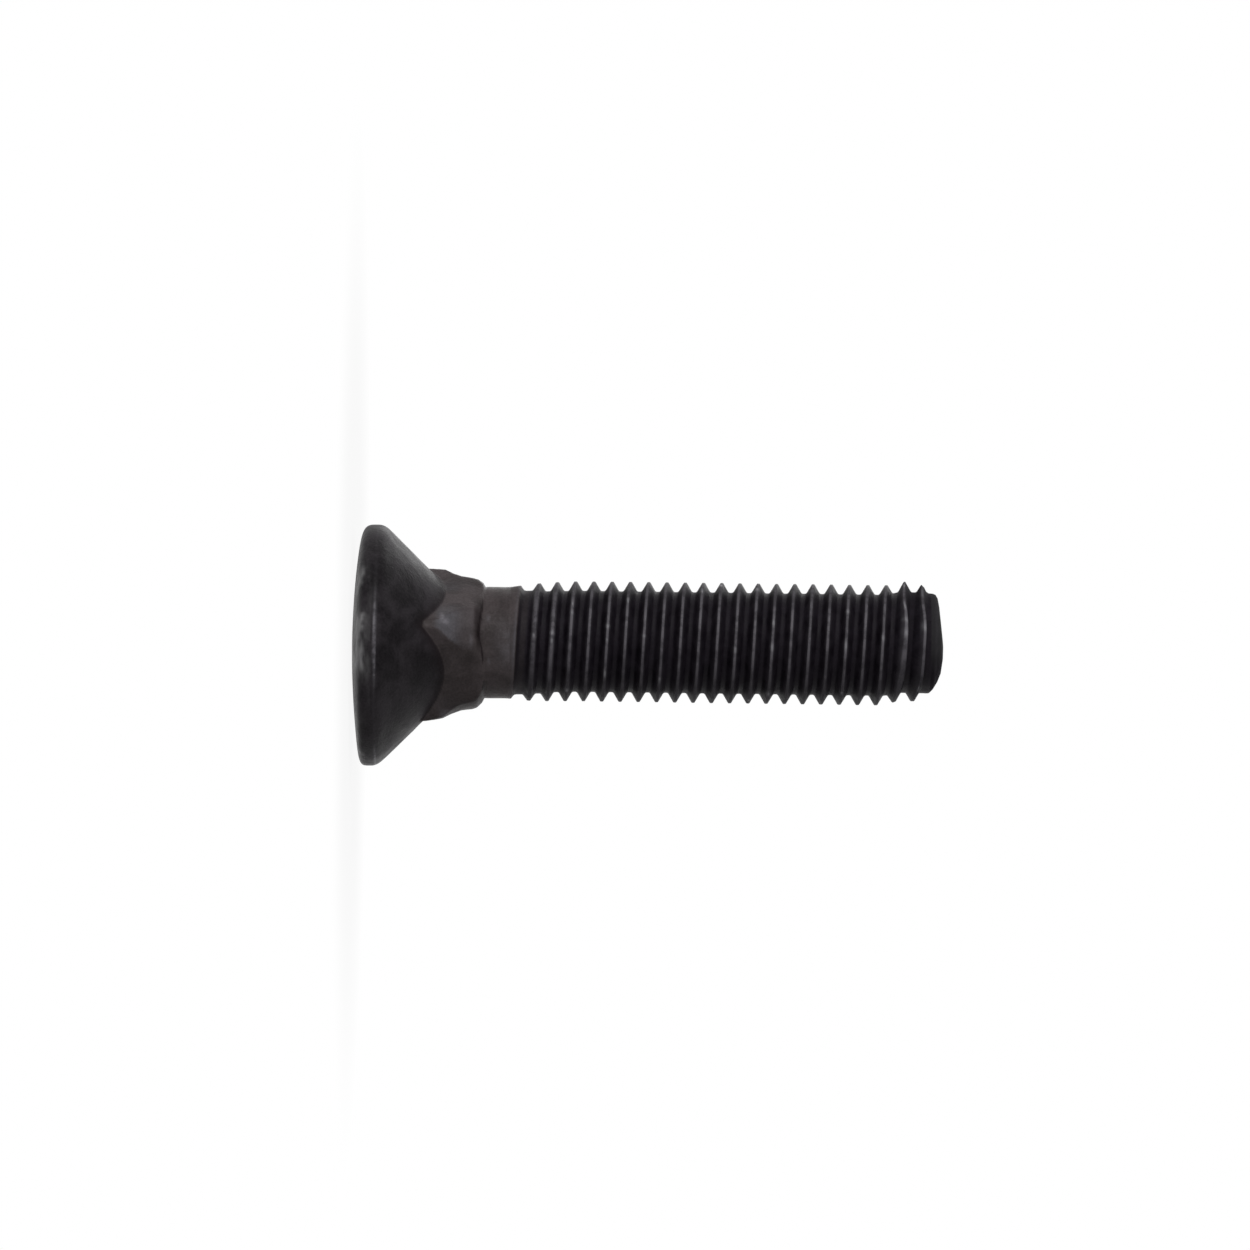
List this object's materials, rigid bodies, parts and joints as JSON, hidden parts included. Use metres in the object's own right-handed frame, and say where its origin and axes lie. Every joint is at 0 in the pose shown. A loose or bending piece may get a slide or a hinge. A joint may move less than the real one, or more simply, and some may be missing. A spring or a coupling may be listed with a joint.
{
  "type": "plow bolt",
  "caption": "Countersunk bolt with a low domed head, a square neck that stops it turning in its hole, a plain shank and a coarse thread.",
  "frame": {"origin": "the middle of the crown, where the head touches the ground", "axes": "+Z along the bolt's axis from the head to the threaded end; the neck's flats face +X, -X, +Y and -Y"},
  "size_m": [0.0256, 0.0256, 0.0632],
  "materials": {
    "black_steel": "black oxide on forged and rolled steel, oiled, lightly scuffed on the head and bright along the crests"
  },
  "bodies": {
    "root": {"plow_bolt": "black_steel"}
  },
  "joints": []
}
